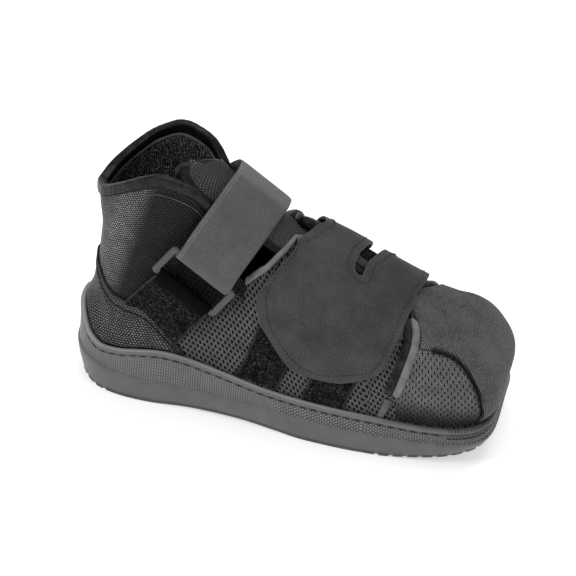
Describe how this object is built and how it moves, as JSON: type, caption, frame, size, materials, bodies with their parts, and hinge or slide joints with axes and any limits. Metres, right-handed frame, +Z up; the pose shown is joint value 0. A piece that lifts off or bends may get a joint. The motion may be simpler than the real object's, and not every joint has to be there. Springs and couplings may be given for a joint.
{
  "type": "post-operative boot",
  "caption": "Tall mesh boot with a square toe on a rocker cupsole, closed by a ringed ankle strap and a wide forefoot flap",
  "frame": {"origin": "on the floor, under the middle of the sole's box", "axes": "+X points from heel to toe, +Z is up, and the side with the ring and the flap's rounded end is at -Y"},
  "size_m": [0.3, 0.1206, 0.1838],
  "materials": {
    "outsole_rubber": "matt moulded rubber",
    "midsole_rubber": "satin moulded rubber",
    "mesh_fabric": "air mesh",
    "insole_fabric": "brushed lining",
    "binding_tape": "smooth folded tape",
    "toe_knit": "fine twill knit",
    "flap_suede": "brushed suede-like cloth",
    "loop_velvet": "loop pile",
    "strap_webbing": "ribbed webbing",
    "ring_plastic": "moulded, slight sheen"
  },
  "bodies": {
    "root": {"outsole": "outsole_rubber", "midsole": "midsole_rubber", "insole": "insole_fabric", "upper": "mesh_fabric", "collar_binding": "binding_tape", "throat_binding": "binding_tape", "heel_counter": "mesh_fabric", "toe_cap": "toe_knit", "toe_binding": "binding_tape", "binding_tab": "binding_tape", "loop_strip_1": "loop_velvet", "loop_strip_2": "loop_velvet", "forefoot_flap": "flap_suede", "ring": "ring_plastic", "ankle_loop": "loop_velvet", "ankle_strap": "strap_webbing", "tongue": "mesh_fabric"}
  },
  "joints": []
}
